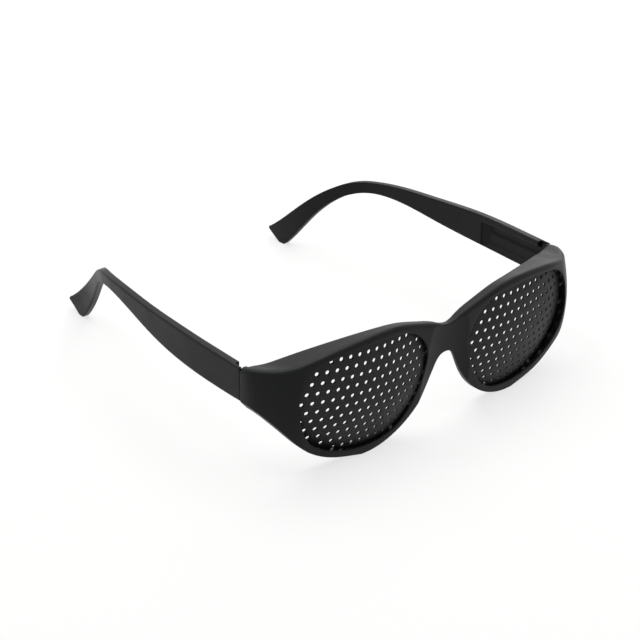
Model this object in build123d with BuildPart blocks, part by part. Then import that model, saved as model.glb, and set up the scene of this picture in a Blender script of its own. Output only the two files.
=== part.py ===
from build123d import *
from math import cos, radians, tan
import os

# Pinhole glasses: a moulded wraparound front, two perforated plates sprung into grooves in it,
# and two temples that fold on screws. X runs across the face to the wearer's left, Y from the
# brow back to the ears, Z up. The glasses stand open, on both rims and both temple tips.
# The origin is under the middle of the whole. Lengths are in millimetres.

# Overall sizes
hinge_half_width = 70.0      # middle of the nose to the outer face of a temple at its hinge
front_height = 45.0          # floor to the highest line of the brow
wrap_depth = 22.8            # foremost line of the brow to the joint between front and temple
temple_reach = 129.6         # that joint to the rearmost point of the temple
overrun = 1.0                # how far a cut runs past what it cuts
fit_clearance = 0.1          # gap around a plate in its groove
joint_gap = 0.25             # gap between parts that turn on each other

# Front shell
rim_wall = 2.5               # thickness of the rims and side shields
middle_height = 25.0         # floor to the middle one of the three plans below
shelf_thickness = 2.0        # thickness of the brow shelf
shelf_fall = 11.3            # degrees that the brow shelf drops towards the ears
shelf_setback = 1.0          # shelf's back edge at the hinge, ahead of the joint
crease_radius = 1.6          # rounding where the brow shelf meets the front
rest_flat = 3.0              # width of the flat that a rim stands on
rest_share = 0.47            # place of its middle, as a share of the half width

# Plans of the outer face: shares of the half width, then at the floor, the middle and the brow
# the shares of the wrap depth by which the face lies back at those places
plan_shares = (0, 0.200, 0.486, 0.643, 0.757, 0.814, 0.857, 0.886, 0.929, 0.964, 1.0)
floor_shares = (0.215, 0.210, 0.222, 0.255, 0.335, 0.412, 0.505, 0.600, 0.750, 0.882, 1.009)
middle_shares = (0.070, 0.064, 0.083, 0.127, 0.184, 0.208, 0.238, 0.292, 0.412, 0.572, 0.905)
top_shares = (0.006, 0.0, 0.026, 0.105, 0.202, 0.311, 0.430, 0.518, 0.623, 0.754, 0.965)
# Plan of the shelf's back edge: share of the half width, share of its depth at the hinge
shelf_back_shares = ((0, 0.160), (0.150, 0.190), (0.334, 0.206), (0.397, 0.235), (0.486, 0.312),
                     (0.639, 0.505), (0.764, 0.712), (0.887, 0.922), (1.0, 1.0))
# Front view of the brow line, before the crease is rounded: share of the half width, share of
# the front's height
brow_shares = ((0, 0.850), (0.071, 0.886), (0.186, 0.948), (0.300, 0.997), (0.420, 1.012),
               (0.606, 0.994), (0.793, 0.944), (0.886, 0.917), (1.0, 0.929))
# Front view of the lower edge from the nose to a rim's flat, and from there to the hinge
nose_shares = ((0, 0.596), (0.020, 0.592), (0.038, 0.577), (0.063, 0.522), (0.105, 0.387),
               (0.168, 0.238), (0.256, 0.110), (0.338, 0.040))
cheek_shares = ((0.600, 0.044), (0.693, 0.090), (0.806, 0.196), (0.900, 0.357), (1.0, 0.558))
# Front view of a lens opening, once round from the top near the nose
opening_shares = ((0.309, 0.929), (0.500, 0.942), (0.680, 0.907), (0.786, 0.849), (0.839, 0.738),
                  (0.859, 0.576), (0.844, 0.409), (0.789, 0.251), (0.643, 0.120), (0.457, 0.069),
                  (0.290, 0.133), (0.194, 0.322), (0.139, 0.551), (0.140, 0.711), (0.180, 0.816))

# Bridge scoop between the lenses
scoop_radius = 37.0
scoop_depth = 0.8            # at the height of the brow
scoop_lean = 7.4             # degrees, so that the scoop fades out towards the nose gap
scoop_height_share = 0.878   # where its depth is measured, as a share of the front's height

# Perforated plates and the grooves that hold them
plate_thickness = 0.7
plate_apex_depth = 0.0       # the plate's foremost point, behind the foremost line of the brow
plate_curve_half_angle = 40.0
plate_steps = 6              # spans of the curve from top to bottom
margin_steps = 24            # points of an outline round a lens opening
groove_depth = 0.9           # how far the plate reaches past the lens opening
rib_width = 1.0              # rib of the rim outside the groove
rib_lip = 0.6                # rim left behind the plate
face_clearance = 0.02        # between plate and groove on each face
pinhole_diameter = 1.5
pinhole_pitch = 3.28         # from hole to hole in a row
row_spacing = 3.38
# The plate's foremost point and one hole: share of the half width, share of the front's height
plate_apex_shares = (0.400, 0.644)
first_hole_shares = (0.6154, 0.6549)
# How the plate curves: span across as a share of the half width or up as a share of the front's
# height, then how far it falls back over that span as a share of the wrap depth
plate_across_shares = (0.457, 0.362)
plate_up_shares = (0.444, 0.153)

# Temples
temple_thickness = 2.6
straight_run = 17.7          # behind the joint, before the temple bows towards the head
bow_steps = 16               # points of the inner face along the bow
tip_radius = 0.8
temple_edge_radius = 0.5     # rounding of the outer face's edges
# Plan of the bow's outer face: share of the hinge half width, share of the temple's reach
bow_shares = ((0.989, 0.290), (0.958, 0.444), (0.913, 0.594), (0.863, 0.691), (0.812, 0.752),
              (0.765, 0.806), (0.725, 0.868), (0.705, 0.930), (0.699, 1.020))
# Side view of the upper and lower edges: share of the temple's reach, share of the front's height
temple_top_shares = ((0, 0.827), (0.115, 0.833), (0.269, 0.836), (0.419, 0.821), (0.561, 0.806),
                     (0.631, 0.786), (0.700, 0.747), (0.768, 0.653), (0.836, 0.505),
                     (0.902, 0.333), (0.986, 0.132))
temple_bottom_shares = ((0.930, 0.0), (0.856, 0.244), (0.789, 0.467), (0.721, 0.615),
                        (0.652, 0.682), (0.582, 0.693), (0.399, 0.622), (0.175, 0.566), (0, 0.558))
tip_shares = ((1.0035, 0.100), (0.950, 0.0))
recess_end = 31.5            # recess in the inner face, measured from the joint
recess_slope = 3.2           # run of its slanted end wall
recess_wall = 1.35           # temple left outside the recess
recess_bottom_margin = 2.4   # lower edge of the temple at the joint to the recess's floor
recess_top_margin = 2.0      # recess to the upper edge there
channel_end = 30.5           # deeper channel in the upper half of the recess
channel_wall = 0.7
channel_height = 2.6
channel_margin = 0.6         # channel to the top of the recess

# Hinges
axis_inset = 3.6             # outer face of the temple to the hinge axis
axis_back = 1.4              # hinge axis behind the joint
knuckle_radius = 1.8
hinge_height = 7.0
hinge_level_share = 0.6445   # middle of the hinge, as a share of the front's height
knuckle_gap = 0.12           # between neighbouring knuckles
turning_clearance = 0.3      # around a turning knuckle
lug_depth = 5.0              # front's lug ahead of the joint
temple_skin = 0.9            # temple left beside the knuckles
relief_margin = 0.3          # clear run behind the knuckles
web_overlap = 1.5            # how far the knuckle's web runs on into the temple
screw_diameter = 1.4
screw_fit = 0.05             # radial gap between the screw and the temple's knuckle
screw_seat_fit = 0.01        # radial gap between the screw and the front's knuckles
screw_head_diameter = 2.2
screw_head_height = 0.7
head_clearance = 0.15
screw_cap = 0.7              # plastic left over the blind end of the screw's hole
screw_end_gap = 0.3          # between the screw's end and that cap
screw_chamfer = 0.15
driver_slot_width = 0.4
driver_slot_depth = 0.3

overall_length = wrap_depth + temple_reach
brow_y = -overall_length / 2
joint_y = brow_y + wrap_depth
shelf_end_depth = wrap_depth - shelf_setback
axis_across = hinge_half_width - axis_inset
axis_y = joint_y + axis_back
hinge_bottom = front_height * hinge_level_share - hinge_height / 2
hinge_top = hinge_bottom + hinge_height
knuckle_height = (hinge_top - hinge_bottom - 2 * knuckle_gap) / 3
middle_bottom = hinge_bottom + knuckle_height + knuckle_gap
upper_bottom = middle_bottom + knuckle_height + knuckle_gap
relief_end = axis_y + knuckle_radius + relief_margin
inner_face = hinge_half_width - temple_thickness
head_seat = hinge_bottom + screw_head_height
screw_hole_top = hinge_top - screw_cap
recess_bottom = front_height * temple_bottom_shares[-1][1] + recess_bottom_margin
recess_top = front_height * temple_top_shares[0][1] - recess_top_margin
channel_top = recess_top - channel_margin
channel_bottom = channel_top - channel_height

front_view = Plane.XZ.offset(overrun - brow_y)
side_view = Plane((0, joint_y, 0), x_dir=(0, 1, 0), z_dir=(1, 0, 0))
shelf_rise = overrun * tan(radians(shelf_fall))
shelf_view = Plane((0, brow_y - overrun, shelf_rise), x_dir=(1, 0, 0), z_dir=(0, -1, 0))
shelf_direction = (0, cos(radians(shelf_fall)), -tan(radians(shelf_fall)) * cos(radians(shelf_fall)))
plan_levels = ((-overrun, floor_shares), (middle_height, middle_shares),
               (front_height + overrun, top_shares))


def scaled(shares, across, up):
    """Turns shares of two sizes into points."""
    return [(a * across, b * up) for a, b in shares]


def curve_radius(shares, span_size):
    """Works out a radius of the plate from its span and how far it falls back over that span."""
    span = shares[0] * span_size
    fall = shares[1] * wrap_depth
    return (span ** 2 + fall ** 2) / (2 * fall)


def space_behind_face(inset):
    """Makes the space behind the outer face, this deep under it, past the joint and the middle."""
    far = wrap_depth + 2 * rim_wall
    side = -2 * rim_wall
    with BuildPart() as space:
        for height, depth_shares in plan_levels:
            with BuildSketch(Plane((0, brow_y, height))):
                with BuildLine():
                    points = scaled(zip(plan_shares, depth_shares), hinge_half_width, wrap_depth)
                    line = Spline(*points, tangents=((1, 0), (0, 1)))
                    Polyline(line @ 1, (hinge_half_width, far), (side, far),
                             (side, (line @ 0).Y), line @ 0)
                make_face()
                if inset:
                    offset(amount=-inset, kind=Kind.INTERSECTION)
        loft()
    return space.part


def space_over_brow(lift):
    """Makes the space over the brow shelf's top, or over a surface this high above it."""
    far = hinge_half_width + overrun
    near = -3 * rim_wall
    high = 2 * front_height
    with BuildPart() as space:
        with BuildSketch(shelf_view):
            with BuildLine():
                points = scaled(brow_shares, hinge_half_width, front_height)
                brow = Spline(*[(x, y + lift) for x, y in points], tangents=((1, 0), (1, 0)))
                Polyline(brow @ 1, (far, (brow @ 1).Y), (far, high), (near, high),
                         (near, (brow @ 0).Y), brow @ 0)
            make_face()
        extrude(amount=wrap_depth + 3 * rim_wall, dir=shelf_direction)
    return space.part


def opening_outline(margin):
    """Makes the front view of a lens opening with a margin all round."""
    with BuildSketch() as outline:
        with BuildLine():
            edge = Spline(*scaled(opening_shares, hinge_half_width, front_height), periodic=True,
                          mode=Mode.PRIVATE)
            points = []
            for step in range(margin_steps):
                along = edge % (step / margin_steps)
                points.append(edge @ (step / margin_steps) + Vector(-along.Y, along.X) * margin)
            Spline(*points, periodic=True)
        make_face()
    return outline.sketch


def space_behind_plate(depth):
    """Makes the space behind the surface that lies this deep under the plate's front face."""
    apex_across, apex_height = scaled([plate_apex_shares], hinge_half_width, front_height)[0]
    apex_y = brow_y + plate_apex_depth
    radius_across = curve_radius(plate_across_shares, hinge_half_width)
    radius_up = curve_radius(plate_up_shares, front_height)
    axis_line = Axis((apex_across, apex_y + radius_across, 0), (0, 0, 1))
    start = 180 - plate_curve_half_angle
    with BuildPart() as space:
        with BuildSketch(Plane.YZ.offset(apex_across)):
            with BuildLine():
                circle = CenterArc((apex_y + radius_up, apex_height), radius_up - depth,
                                   start, 2 * plate_curve_half_angle, mode=Mode.PRIVATE)
                arc = Spline(*[circle @ (step / plate_steps) for step in range(plate_steps + 1)],
                             tangents=(circle % 0, circle % 1))
                axis_at = axis_line.position.Y
                Polyline(arc @ 1, (axis_at, (arc @ 1).Y), (axis_at, (arc @ 0).Y), arc @ 0)
            make_face()
        revolve(axis=axis_line)
    return space.part


def temple_outline():
    """Makes the side view of a temple, with sharp corners at the tip."""
    with BuildSketch() as outline:
        with BuildLine():
            top_edge = Spline(*scaled(temple_top_shares, temple_reach, front_height))
            bottom_edge = Spline(*scaled(temple_bottom_shares, temple_reach, front_height))
            Polyline(top_edge @ 1, *scaled(tip_shares, temple_reach, front_height), bottom_edge @ 0)
            Line(bottom_edge @ 1, top_edge @ 0)
        make_face()
    return outline.sketch


def pocket(bottom, top, end, wall):
    """Makes a pocket in the temple's inner face with a slanted end and a slanted lower side."""
    floor = hinge_half_width - wall
    outside = inner_face - overrun
    with BuildPart() as space:
        with BuildSketch(Plane((0, joint_y, 0))):
            with BuildLine():
                Polyline((floor, joint_gap), (floor, end - recess_slope), (inner_face, end),
                         (outside, end), (outside, joint_gap), close=True)
            make_face()
        extrude(amount=front_height)
        with BuildSketch(Plane.XZ.offset(-joint_y)):
            with BuildLine():
                Polyline((floor, bottom), (floor, top), (outside, top),
                         (outside, bottom - (floor - outside)), close=True)
            make_face()
        extrude(amount=-end, mode=Mode.INTERSECT)
    return space.part


def opening_block(margin, back):
    """Makes a block with the outline of a lens opening plus a margin, from the brow backwards."""
    with BuildPart() as block:
        with BuildSketch(front_view):
            add(opening_outline(margin))
        extrude(amount=-back)
    return block.part


groove_front = space_behind_plate(-face_clearance)
groove_back = space_behind_plate(plate_thickness + face_clearance)
plate_front = space_behind_plate(0)
plate_back = space_behind_plate(plate_thickness)
rib_back = space_behind_plate(plate_thickness + rib_lip)

# Solid block under the outer face and the brow shelf's top, with the crease between them rounded
with BuildPart() as outer_block:
    add(space_behind_face(0))
    add(space_over_brow(0), mode=Mode.SUBTRACT)
    crease = outer_block.edges().sort_by(Axis.Z)[-1]
    fillet(crease, radius=crease_radius)

# Brow shelf, left half
with BuildPart() as shelf:
    add(outer_block.part)
    add(space_over_brow(-shelf_thickness), mode=Mode.INTERSECT)
    with BuildSketch(Plane((0, brow_y, 0))):
        with BuildLine():
            back = Spline(*scaled(shelf_back_shares, hinge_half_width, shelf_end_depth))
            Polyline(back @ 1, (hinge_half_width + overrun, shelf_end_depth),
                     (hinge_half_width + overrun, -overrun), (0, -overrun), back @ 0)
        make_face()
    extrude(amount=front_height + overrun, mode=Mode.INTERSECT)

# Rib round a lens opening that is deep enough for the plate's groove
with BuildPart() as rib:
    add(opening_block(groove_depth + rib_width, wrap_depth))
    add(outer_block.part, mode=Mode.INTERSECT)
    add(rib_back, mode=Mode.SUBTRACT)

# Groove that holds the plate's edge
with BuildPart() as groove:
    add(opening_block(groove_depth + fit_clearance, wrap_depth))
    add(groove_front, mode=Mode.INTERSECT)
    add(groove_back, mode=Mode.SUBTRACT)

# Front, left half
with BuildPart() as front_half:
    add(outer_block.part)
    add(space_behind_face(rim_wall), mode=Mode.SUBTRACT)
    add(rib.part)
    with BuildSketch(front_view):
        with BuildLine():
            rest_across = hinge_half_width * rest_share
            nose = Spline(*scaled(nose_shares, hinge_half_width, front_height),
                          (rest_across - rest_flat / 2, 0))
            cheek = Spline((rest_across + rest_flat / 2, 0),
                           *scaled(cheek_shares, hinge_half_width, front_height))
            outside = hinge_half_width + overrun
            Line(nose @ 1, cheek @ 0)
            Polyline(cheek @ 1, (outside, (cheek @ 1).Y), (outside, front_height + overrun),
                     (0, front_height + overrun), nose @ 0)
        make_face()
    extrude(amount=-(wrap_depth + overrun), mode=Mode.INTERSECT)
    add(opening_block(0, wrap_depth + overrun), mode=Mode.SUBTRACT)
    add(shelf.part)
    add(groove.part, mode=Mode.SUBTRACT)
    # Scoop that thins the bridge towards the brow
    scoop_axis_y = brow_y + scoop_depth - scoop_radius
    scoop_height = front_height * scoop_height_share
    with Locations(Location((0, scoop_axis_y, scoop_height), (scoop_lean, 0, 0))):
        Cylinder(scoop_radius, 2 * front_height, mode=Mode.SUBTRACT)
    # Lug that carries the hinge, hollowed for the temple's knuckle, with a knuckle on each side
    lug_side = axis_across - knuckle_radius
    lug_front = joint_y - lug_depth
    lug_outside = inner_face + (hinge_half_width - inner_face) / 2
    with BuildSketch(Plane.XY.offset(hinge_bottom)):
        with BuildLine():
            Polyline((lug_side, lug_front), (lug_outside, lug_front), (lug_outside, joint_y),
                     (lug_side, joint_y), close=True)
        make_face()
    extrude(amount=hinge_top - hinge_bottom)
    with Locations((axis_across, axis_y, hinge_bottom + knuckle_height)):
        Cylinder(knuckle_radius + turning_clearance, upper_bottom - hinge_bottom - knuckle_height,
                 align=(Align.CENTER, Align.CENTER, Align.MIN), mode=Mode.SUBTRACT)
    for knuckle_bottom in (hinge_bottom, upper_bottom):
        with BuildSketch(Plane.XY.offset(knuckle_bottom)):
            with Locations((axis_across, axis_y)):
                Circle(knuckle_radius)
                Rectangle(2 * knuckle_radius, axis_y - lug_front, align=(Align.CENTER, Align.MAX))
        extrude(amount=knuckle_height)
    with Locations((axis_across, axis_y, screw_hole_top)):
        Cylinder(screw_diameter / 2 + screw_seat_fit, screw_hole_top - hinge_bottom,
                 align=(Align.CENTER, Align.CENTER, Align.MAX), mode=Mode.SUBTRACT)
    with Locations((axis_across, axis_y, head_seat)):
        Cylinder(screw_head_diameter / 2 + head_clearance, screw_head_height + overrun,
                 align=(Align.CENTER, Align.CENTER, Align.MAX), mode=Mode.SUBTRACT)

with BuildPart() as front_frame:
    add(front_half.part)
    mirror(about=Plane.YZ)

# Perforated plate of the wearer's left eye
first_hole_across, first_hole_height = scaled([first_hole_shares], hinge_half_width, front_height)[0]
bounds = opening_outline(0).bounding_box()
rows = range(round((bounds.min.Y - first_hole_height) / row_spacing) - 1,
             round((bounds.max.Y - first_hole_height) / row_spacing) + 2)
places = range(round((bounds.min.X - first_hole_across) / pinhole_pitch) - 1,
               round((bounds.max.X - first_hole_across) / pinhole_pitch) + 2)
hole_points = []
for row in rows:
    for place in places:
        across = first_hole_across + (place + row % 2 / 2) * pinhole_pitch
        hole_points.append((across, first_hole_height + row * row_spacing))
perforated = opening_outline(0)
hole_points = [point for point in hole_points if perforated.faces()[0].is_inside((*point, 0))]

with BuildPart() as pinhole_plate_left:
    add(opening_block(groove_depth, wrap_depth))
    add(plate_front, mode=Mode.INTERSECT)
    add(plate_back, mode=Mode.SUBTRACT)
    with BuildSketch(front_view):
        with Locations(*hole_points):
            Circle(pinhole_diameter / 2)
    extrude(amount=-wrap_depth, mode=Mode.SUBTRACT)

with BuildPart() as pinhole_plate_right:
    mirror(pinhole_plate_left.part, about=Plane.YZ)

# Temple of the wearer's left side
with BuildPart() as temple_left:
    # Plan: a straight run, then a bow towards the head
    with BuildSketch(Plane((0, joint_y, 0))):
        with BuildLine():
            start = (hinge_half_width, straight_run)
            bow = Spline(start, *scaled(bow_shares, hinge_half_width, temple_reach),
                         tangents=((0, 1), (0, 1)))
            inner_points = []
            for step in range(bow_steps + 1):
                along = bow % (step / bow_steps)
                inward = Vector(-along.Y, along.X) * temple_thickness
                inner_points.append(bow @ (step / bow_steps) + inward)
            inner = Spline(*inner_points, tangents=((0, 1), (0, 1)))
            Line(bow @ 1, inner @ 1)
            Polyline(inner @ 0, (inner_face, joint_gap), (hinge_half_width, joint_gap), start)
        make_face()
    extrude(amount=front_height)
    with BuildSketch(side_view):
        add(temple_outline())
    extrude(amount=hinge_half_width + overrun, mode=Mode.INTERSECT)
    outer_face = temple_left.faces().filter_by(Axis.X).sort_by(Axis.X)[-1]
    fillet(outer_face.edges().filter_by(GeomType.BSPLINE), radius=temple_edge_radius)
    # Rounded corners of the tip
    with BuildSketch(side_view):
        with BuildSketch() as rounded_outline:
            add(temple_outline())
            fillet(rounded_outline.vertices().group_by(Axis.X)[1:], radius=tip_radius)
        add(temple_outline())
        add(rounded_outline.sketch, mode=Mode.SUBTRACT)
    extrude(amount=hinge_half_width + overrun, mode=Mode.SUBTRACT)
    # Recess behind the hinge, and the deeper channel in its upper half
    add(pocket(recess_bottom, recess_top, recess_end, recess_wall), mode=Mode.SUBTRACT)
    add(pocket(channel_bottom, channel_top, channel_end, channel_wall), mode=Mode.SUBTRACT)
    # Relief beside the front's knuckles
    with BuildSketch(Plane((0, joint_y, 0))):
        with Locations((hinge_half_width - temple_skin, 0)):
            Rectangle(temple_thickness, relief_end - joint_y, align=(Align.MAX, Align.MIN))
    extrude(amount=front_height, mode=Mode.SUBTRACT)
    # Middle knuckle and its web
    with BuildSketch(Plane.XY.offset(middle_bottom)):
        with Locations((axis_across, axis_y)):
            Circle(knuckle_radius)
            Rectangle(hinge_half_width - temple_skin / 2 - axis_across,
                      relief_end + web_overlap - axis_y, align=(Align.MIN, Align.MIN))
    extrude(amount=knuckle_height)
    with Locations((axis_across, axis_y, middle_bottom)):
        Cylinder(screw_diameter / 2 + screw_fit, knuckle_height,
                 align=(Align.CENTER, Align.CENTER, Align.MIN), mode=Mode.SUBTRACT)

with BuildPart() as temple_right:
    mirror(temple_left.part, about=Plane.YZ)

# Screw of the wearer's left hinge, put in from below: shank, head and driver slot
with BuildPart() as hinge_screw_left:
    with Locations((axis_across, axis_y, head_seat)):
        Cylinder(screw_diameter / 2, screw_hole_top - screw_end_gap - head_seat,
                 align=(Align.CENTER, Align.CENTER, Align.MIN))
        Cylinder(screw_head_diameter / 2, screw_head_height,
                 align=(Align.CENTER, Align.CENTER, Align.MAX))
    rims = hinge_screw_left.edges().filter_by(GeomType.CIRCLE)
    chamfer(rims.group_by(Axis.Z)[0] + rims.group_by(Axis.Z)[-1], length=screw_chamfer)
    with Locations((axis_across, axis_y, hinge_bottom)):
        Box(screw_head_diameter + overrun, driver_slot_width, 2 * driver_slot_depth,
            mode=Mode.SUBTRACT)

with BuildPart() as hinge_screw_right:
    mirror(hinge_screw_left.part, about=Plane.YZ)

pieces = {
    "front_frame": front_frame,
    "pinhole_plate_left": pinhole_plate_left,
    "pinhole_plate_right": pinhole_plate_right,
    "temple_left": temple_left,
    "temple_right": temple_right,
    "hinge_screw_left": hinge_screw_left,
    "hinge_screw_right": hinge_screw_right,
}
os.makedirs("parts", exist_ok=True)
for name, piece in pieces.items():
    piece.part.label = name
    export_step(piece.part, f"parts/{name}.step")
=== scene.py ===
"""Looks of the pinhole glasses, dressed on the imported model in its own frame, in metres."""
import logging
import math
from dataclasses import dataclass, field
from enum import Enum

import bpy
from mathutils import Matrix, Vector


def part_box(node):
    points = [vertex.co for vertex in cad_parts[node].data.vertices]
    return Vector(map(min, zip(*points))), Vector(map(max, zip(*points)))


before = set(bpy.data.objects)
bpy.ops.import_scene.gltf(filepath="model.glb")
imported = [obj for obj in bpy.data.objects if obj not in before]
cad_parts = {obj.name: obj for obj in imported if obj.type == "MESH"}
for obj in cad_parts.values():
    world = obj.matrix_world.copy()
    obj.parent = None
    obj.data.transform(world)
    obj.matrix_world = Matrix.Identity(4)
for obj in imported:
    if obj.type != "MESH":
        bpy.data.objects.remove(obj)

log = logging.getLogger("pinhole_glasses")
MM = 0.001
Triple = tuple[float, float, float]
Span = tuple[float, float]

# The sRGB curve: a straight foot up to the knee, and a power above it.
SRGB_KNEE = 0.04045
SRGB_FOOT = 12.92
SRGB_OFFSET = 0.055
SRGB_POWER = 2.4
FULL_BYTE = 255
# Blender's wave texture turns through this many radians in each unit of its scale.
WAVE_RADIANS = 20
# The point that the lamps face: the middle of the glasses.
MIDDLE = (0.0, 0.0, 0.02)


def linear(hex_colour: str) -> tuple[float, float, float, float]:
    """Turns an sRGB hex colour into a linear colour with full alpha.

    Args:
        hex_colour: Six hex digits after a hash sign.

    Returns:
        Red, green, blue and alpha, each from 0 to 1.
    """
    digits = hex_colour.lstrip("#")
    shares = [int(digits[i:i + 2], 16) / FULL_BYTE for i in (0, 2, 4)]
    r, g, b = (c / SRGB_FOOT if c <= SRGB_KNEE
               else ((c + SRGB_OFFSET) / (1 + SRGB_OFFSET)) ** SRGB_POWER for c in shares)
    return (r, g, b, 1.0)


def add_node(tree: bpy.types.NodeTree, kind: str,
             sockets: dict[str | int, object] | None = None,
             **settings: object) -> bpy.types.Node:
    """Adds a node, sets its properties, and fills or links its input sockets.

    Args:
        tree: The node tree that gets the node.
        kind: Blender's name of the node type.
        sockets: Input socket name or number to a value, or to an output socket to link.
        settings: Properties of the node itself.

    Returns:
        The new node.
    """
    node = tree.nodes.new(kind)
    for name, value in settings.items():
        setattr(node, name, value)
    for name, value in (sockets or {}).items():
        if isinstance(value, bpy.types.NodeSocket):
            tree.links.new(value, node.inputs[name])
        else:
            node.inputs[name].default_value = value
    return node


def empty_material(name: str) -> bpy.types.Material:
    """Makes a node material with no nodes yet.

    Args:
        name: The material's name.

    Returns:
        The new material.
    """
    material = bpy.data.materials.new(name)
    material.use_nodes = True
    material.node_tree.nodes.clear()
    return material


class Tooling(Enum):
    """How the steel of the mould was finished, which the plastic copies."""

    # Blasted with wet grit: an even satin skin.
    SATIN = "satin"
    # Pitted by sparks: a fine open grain.
    GRAINED = "grained"


@dataclass(frozen=True)
class MouldedPlastic:
    """Finish of an injection-moulded plastic piece."""

    resin: str
    tooling: Tooling
    colour: str
    light_speck: str
    roughness: Span
    grain_mm: float
    grain_depth_mm: float
    flow_mm: float
    edge_mm: float
    specular: float
    ior: float = 1.53
    grain_detail: float = 3.0
    grain_mix: float = 0.6
    speck_span: Span = (0.42, 0.72)
    flow_detail: float = 2.0
    flow_mix: float = 0.5
    flow_span: Span = (0.3, 0.7)
    edge_samples: int = 6

    @property
    def name(self) -> str:
        """The material's name."""
        return f"injection-moulded_{self.resin}_{self.tooling.value}"

    def material(self) -> bpy.types.Material:
        """Makes the node material of this finish.

        Returns:
            A material whose colour, gloss and bump vary over the surface.
        """
        material = empty_material(self.name)
        tree = material.node_tree
        place = add_node(tree, "ShaderNodeTexCoord")
        # Grain that the mould's eroded or blasted steel leaves all over the skin.
        grain = add_node(tree, "ShaderNodeTexNoise", {
            "Vector": place.outputs["Object"], "Scale": 1 / (self.grain_mm * MM),
            "Detail": self.grain_detail, "Roughness": self.grain_mix})
        # Slow change of gloss where the melt cooled unevenly, and where fingers polish it.
        flow = add_node(tree, "ShaderNodeTexNoise", {
            "Vector": place.outputs["Object"], "Scale": 1 / (self.flow_mm * MM),
            "Detail": self.flow_detail, "Roughness": self.flow_mix})
        gloss = add_node(tree, "ShaderNodeMapRange", {
            "Value": flow.outputs["Fac"],
            "From Min": self.flow_span[0], "From Max": self.flow_span[1],
            "To Min": self.roughness[0], "To Max": self.roughness[1]})
        speck = add_node(tree, "ShaderNodeMapRange", {
            "Value": grain.outputs["Fac"],
            "From Min": self.speck_span[0], "From Max": self.speck_span[1],
            "To Min": 0.0, "To Max": 1.0})
        colour = add_node(tree, "ShaderNodeMix", {
            "Factor": speck.outputs["Result"], "A": linear(self.colour),
            "B": linear(self.light_speck)}, data_type="RGBA")
        # Moulded edges are never sharp: this softens them in the light beyond their own rounding.
        rounded = add_node(tree, "ShaderNodeBevel", {"Radius": self.edge_mm * MM},
                           samples=self.edge_samples)
        bump = add_node(tree, "ShaderNodeBump", {
            "Height": grain.outputs["Fac"], "Strength": 1.0,
            "Distance": self.grain_depth_mm * MM, "Normal": rounded.outputs["Normal"]})
        shader = add_node(tree, "ShaderNodeBsdfPrincipled", {
            "Base Color": colour.outputs["Result"], "Roughness": gloss.outputs["Result"],
            "IOR": self.ior, "Specular IOR Level": self.specular,
            "Normal": bump.outputs["Normal"]})
        add_node(tree, "ShaderNodeOutputMaterial", {"Surface": shader.outputs["BSDF"]})
        return material


@dataclass(frozen=True)
class TurnedSteel:
    """Finish of a small turned steel screw."""

    name: str
    colour: str
    roughness: Span
    groove_mm: float
    groove_depth_mm: float
    groove_strength: float = 0.6
    groove_waver: float = 0.4
    groove_detail: float = 1.0
    stain_mm: float = 0.8
    stain_detail: float = 2.0

    def material(self) -> bpy.types.Material:
        """Makes the node material of this finish.

        Returns:
            A metal whose fine turning lines catch the light.
        """
        material = empty_material(self.name)
        tree = material.node_tree
        place = add_node(tree, "ShaderNodeTexCoord")
        # Turning lines left by the lathe tool, stacked along the screw.
        lines = add_node(tree, "ShaderNodeTexWave", {
            "Vector": place.outputs["Object"],
            "Scale": 2 * math.pi / (self.groove_mm * MM * WAVE_RADIANS),
            "Distortion": self.groove_waver, "Detail": self.groove_detail},
            bands_direction="Z")
        # Patches where oil and handling dull the steel.
        stain = add_node(tree, "ShaderNodeTexNoise", {
            "Vector": place.outputs["Object"], "Scale": 1 / (self.stain_mm * MM),
            "Detail": self.stain_detail})
        gloss = add_node(tree, "ShaderNodeMapRange", {
            "Value": stain.outputs["Fac"],
            "To Min": self.roughness[0], "To Max": self.roughness[1]})
        bump = add_node(tree, "ShaderNodeBump", {
            "Height": lines.outputs["Fac"], "Strength": self.groove_strength,
            "Distance": self.groove_depth_mm * MM})
        shader = add_node(tree, "ShaderNodeBsdfPrincipled", {
            "Base Color": linear(self.colour), "Metallic": 1.0,
            "Roughness": gloss.outputs["Result"], "Normal": bump.outputs["Normal"]})
        add_node(tree, "ShaderNodeOutputMaterial", {"Surface": shader.outputs["BSDF"]})
        return material


# Black ABS from a vapour-blasted mould: an even satin skin that goes grey only at a low angle.
# The real grain is about 0.05 mm, too fine to show, so it is drawn six times as coarse.
SATIN_ABS = MouldedPlastic(
    resin="ABS", tooling=Tooling.SATIN, colour="#101112", light_speck="#17181a",
    roughness=(0.36, 0.46), grain_mm=0.30, grain_depth_mm=0.004, flow_mm=9.0,
    edge_mm=0.9, specular=0.13)
# Black polypropylene from a spark-eroded mould: a fine grain that scatters light in specks.
# The real grain is about 0.15 mm, too fine to show, so it is drawn three times as coarse.
GRAINED_PP = MouldedPlastic(
    resin="polypropylene", tooling=Tooling.GRAINED, colour="#151517", light_speck="#2c2c2f",
    roughness=(0.48, 0.60), grain_mm=0.45, grain_depth_mm=0.02, flow_mm=12.0,
    edge_mm=0.12, specular=0.18)
# Stainless steel of a turned spectacle screw: bright, with fine rings round it.
# The real rings are about 0.1 mm apart, too fine to show, so they are drawn five times as coarse.
SCREW_STEEL = TurnedSteel(
    name="turned_stainless_steel", colour="#b4b3ae", roughness=(0.22, 0.42),
    groove_mm=0.5, groove_depth_mm=0.004)


def report_size(node_name: str) -> None:
    """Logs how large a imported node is, whose shape needs nothing added.

    Args:
        node_name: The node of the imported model.
    """
    low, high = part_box(node_name)
    size = " x ".join(f"{(b - a) / MM:.1f}" for a, b in zip(low, high))
    log.info("kept %s as packed, %s mm", node_name, size)


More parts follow.
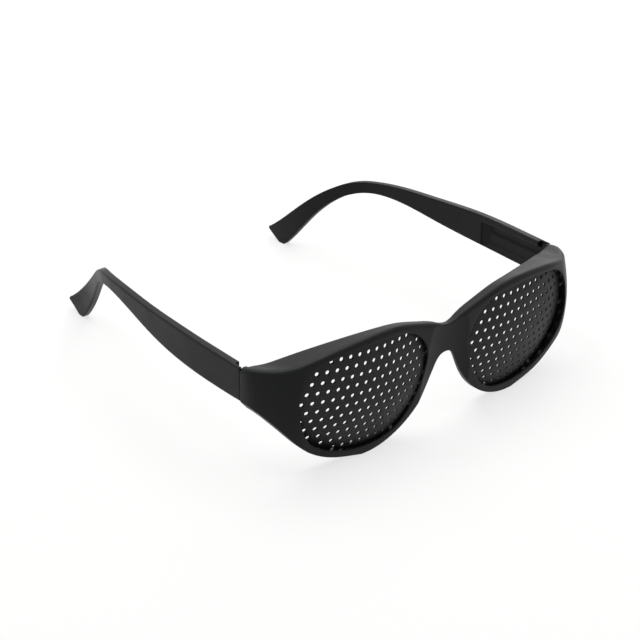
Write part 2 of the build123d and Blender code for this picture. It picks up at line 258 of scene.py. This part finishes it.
def dress(node_name: str, material: bpy.types.Material) -> None:
    """Gives a carried-over node its material.

    Args:
        node_name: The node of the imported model.
        material: The material that it takes.
    """
    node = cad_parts[node_name]
    node.data.materials.clear()
    node.data.materials.append(material)
    log.info("dressed %s with %s", node_name, material.name)


@dataclass
class Front:
    """The moulded front with its two perforated plates."""

    shell: str = "front_frame"
    plates: tuple[str, str] = ("pinhole_plate_left", "pinhole_plate_right")

    def build(self) -> None:
        """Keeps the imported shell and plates."""
        for node_name in (self.shell, *self.plates):
            report_size(node_name)

    def dress(self, skin: bpy.types.Material, grain: bpy.types.Material) -> None:
        """Dresses the shell and the plates.

        Args:
            skin: Material of the shell.
            grain: Material of the plates.
        """
        dress(self.shell, skin)
        for plate in self.plates:
            dress(plate, grain)


@dataclass
class Temple:
    """One temple with its hinge screw."""

    side: str
    arm: str = field(init=False)
    screw: str = field(init=False)

    def __post_init__(self) -> None:
        """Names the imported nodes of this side."""
        self.arm = f"temple_{self.side}"
        self.screw = f"hinge_screw_{self.side}"

    def build(self) -> None:
        """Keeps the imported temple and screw."""
        for node_name in (self.arm, self.screw):
            report_size(node_name)

    def dress(self, skin: bpy.types.Material, steel: bpy.types.Material) -> None:
        """Dresses the temple and its screw.

        Args:
            skin: Material of the temple.
            steel: Material of the screw.
        """
        dress(self.arm, skin)
        dress(self.screw, steel)


@dataclass(frozen=True)
class SoftLamp:
    """A square soft lamp that faces the glasses."""

    name: str
    place: Triple
    size: float
    watts: float

    def build(self) -> None:
        """Makes the lamp and turns it to the middle of the glasses."""
        data = bpy.data.lights.new(self.name, "AREA")
        data.size = self.size
        data.energy = self.watts
        lamp = bpy.data.objects.new(self.name, data)
        place = Vector(self.place)
        lamp.location = place
        lamp.rotation_euler = (Vector(MIDDLE) - place).to_track_quat("-Z", "Y").to_euler()
        bpy.context.scene.collection.objects.link(lamp)
        log.info("lit %s", self.name)


@dataclass
class Studio:
    """Floor, lights, world and camera."""

    floor_size: float = 6.0
    floor_colour: str = "#f4f4f2"
    floor_glow_share: float = 0.72
    room_colour: str = "#ffffff"
    room_dim: float = 0.09
    room_bright: float = 0.32
    room_bright_towards: Triple = (0.65, 0.76, 0.0)
    lens_mm: float = 110.17
    sensor_mm: float = 36.0
    eye: Triple = (-0.3971, -0.4764, 0.3364)
    right: Triple = (0.76148, -0.64819, 0.0)
    up: Triple = (0.30269, 0.35559, 0.88427)
    forward: Triple = (0.57318, 0.67335, -0.46697)
    lamps: tuple[SoftLamp, ...] = (
        SoftLamp("lamp_overhead", (0.10, 0.15, 1.00), size=1.2, watts=14.0),
        SoftLamp("lamp_back_right", (0.75, 0.45, 0.45), size=0.5, watts=1.5),
    )

    def build(self) -> None:
        """Makes the floor, the world, the lamps and the camera."""
        self.make_floor()
        self.make_world()
        for lamp in self.lamps:
            lamp.build()
        self.make_camera()
        bpy.context.scene.view_settings.view_transform = "Standard"

    def make_floor(self) -> None:
        """Makes the pale floor, which shows white but keeps the object's shadow."""
        half = self.floor_size / 2
        mesh = bpy.data.meshes.new("floor")
        corners = [(-half, -half, 0.0), (half, -half, 0.0), (half, half, 0.0), (-half, half, 0.0)]
        mesh.from_pydata(corners, [], [(0, 1, 2, 3)])
        floor = bpy.data.objects.new("floor", mesh)
        bpy.context.scene.collection.objects.link(floor)
        material = empty_material("matt_paper_floor")
        tree = material.node_tree
        paper = add_node(tree, "ShaderNodeBsdfDiffuse", {"Color": linear(self.floor_colour)})
        # Part of what the eye gets from the floor is plain white, and the rest keeps the shadow.
        white = add_node(tree, "ShaderNodeEmission", {"Strength": 1.0})
        share = add_node(tree, "ShaderNodeMath", {
            0: self.seen_rays(tree), 1: self.floor_glow_share}, operation="MULTIPLY")
        both = add_node(tree, "ShaderNodeMixShader", {
            0: share.outputs[0], 1: paper.outputs[0], 2: white.outputs[0]})
        add_node(tree, "ShaderNodeOutputMaterial", {"Surface": both.outputs[0]})
        mesh.materials.append(material)

    def seen_rays(self, tree: bpy.types.NodeTree) -> bpy.types.NodeSocket:
        """Tells the rays that show a background from those that only light the object.

        Args:
            tree: The node tree that gets the nodes.

        Returns:
            A socket that is 1 for a ray that shows the background, otherwise 0.
        """
        ray = add_node(tree, "ShaderNodeLightPath")
        seen = ray.outputs["Is Camera Ray"]
        for other in ("Is Transmission Ray", "Is Glossy Ray"):
            seen = add_node(tree, "ShaderNodeMath", {0: seen, 1: ray.outputs[other]},
                            operation="MAXIMUM").outputs[0]
        return seen

    def make_world(self) -> None:
        """Makes a soft room round the floor, brighter at the back right, seen as white."""
        world = bpy.data.worlds.new("studio")
        bpy.context.scene.world = world
        world.use_nodes = True
        tree = world.node_tree
        tree.nodes.clear()
        way = add_node(tree, "ShaderNodeTexCoord")
        along = add_node(tree, "ShaderNodeVectorMath", {
            0: way.outputs["Generated"], 1: self.room_bright_towards}, operation="DOT_PRODUCT")
        strength = add_node(tree, "ShaderNodeMapRange", {
            "Value": along.outputs["Value"], "From Min": -1.0, "From Max": 1.0,
            "To Min": self.room_dim, "To Max": self.room_bright})
        soft = add_node(tree, "ShaderNodeBackground", {
            "Color": linear(self.room_colour), "Strength": strength.outputs["Result"]})
        white = add_node(tree, "ShaderNodeBackground", {
            "Color": linear(self.room_colour), "Strength": 1.0})
        both = add_node(tree, "ShaderNodeMixShader", {
            0: self.seen_rays(tree), 1: soft.outputs[0], 2: white.outputs[0]})
        add_node(tree, "ShaderNodeOutputWorld", {"Surface": both.outputs[0]})

    def make_camera(self) -> None:
        """Makes the camera at the photograph's viewpoint."""
        data = bpy.data.cameras.new("camera")
        data.lens = self.lens_mm
        data.sensor_width = self.sensor_mm
        camera = bpy.data.objects.new("camera", data)
        turn = Matrix((self.right, self.up, -Vector(self.forward))).transposed().to_4x4()
        camera.matrix_world = Matrix.Translation(Vector(self.eye)) @ turn
        bpy.context.scene.collection.objects.link(camera)
        bpy.context.scene.camera = camera


def main() -> None:
    """Builds every sub-assembly in order."""
    logging.basicConfig(level=logging.INFO)
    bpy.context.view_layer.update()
    skin = SATIN_ABS.material()
    grain = GRAINED_PP.material()
    steel = SCREW_STEEL.material()
    front = Front()
    front.build()
    front.dress(skin, grain)
    for side in ("left", "right"):
        temple = Temple(side)
        temple.build()
        temple.dress(skin, steel)
    Studio().build()
    bpy.context.view_layer.update()


if __name__ == "__main__":
    main()
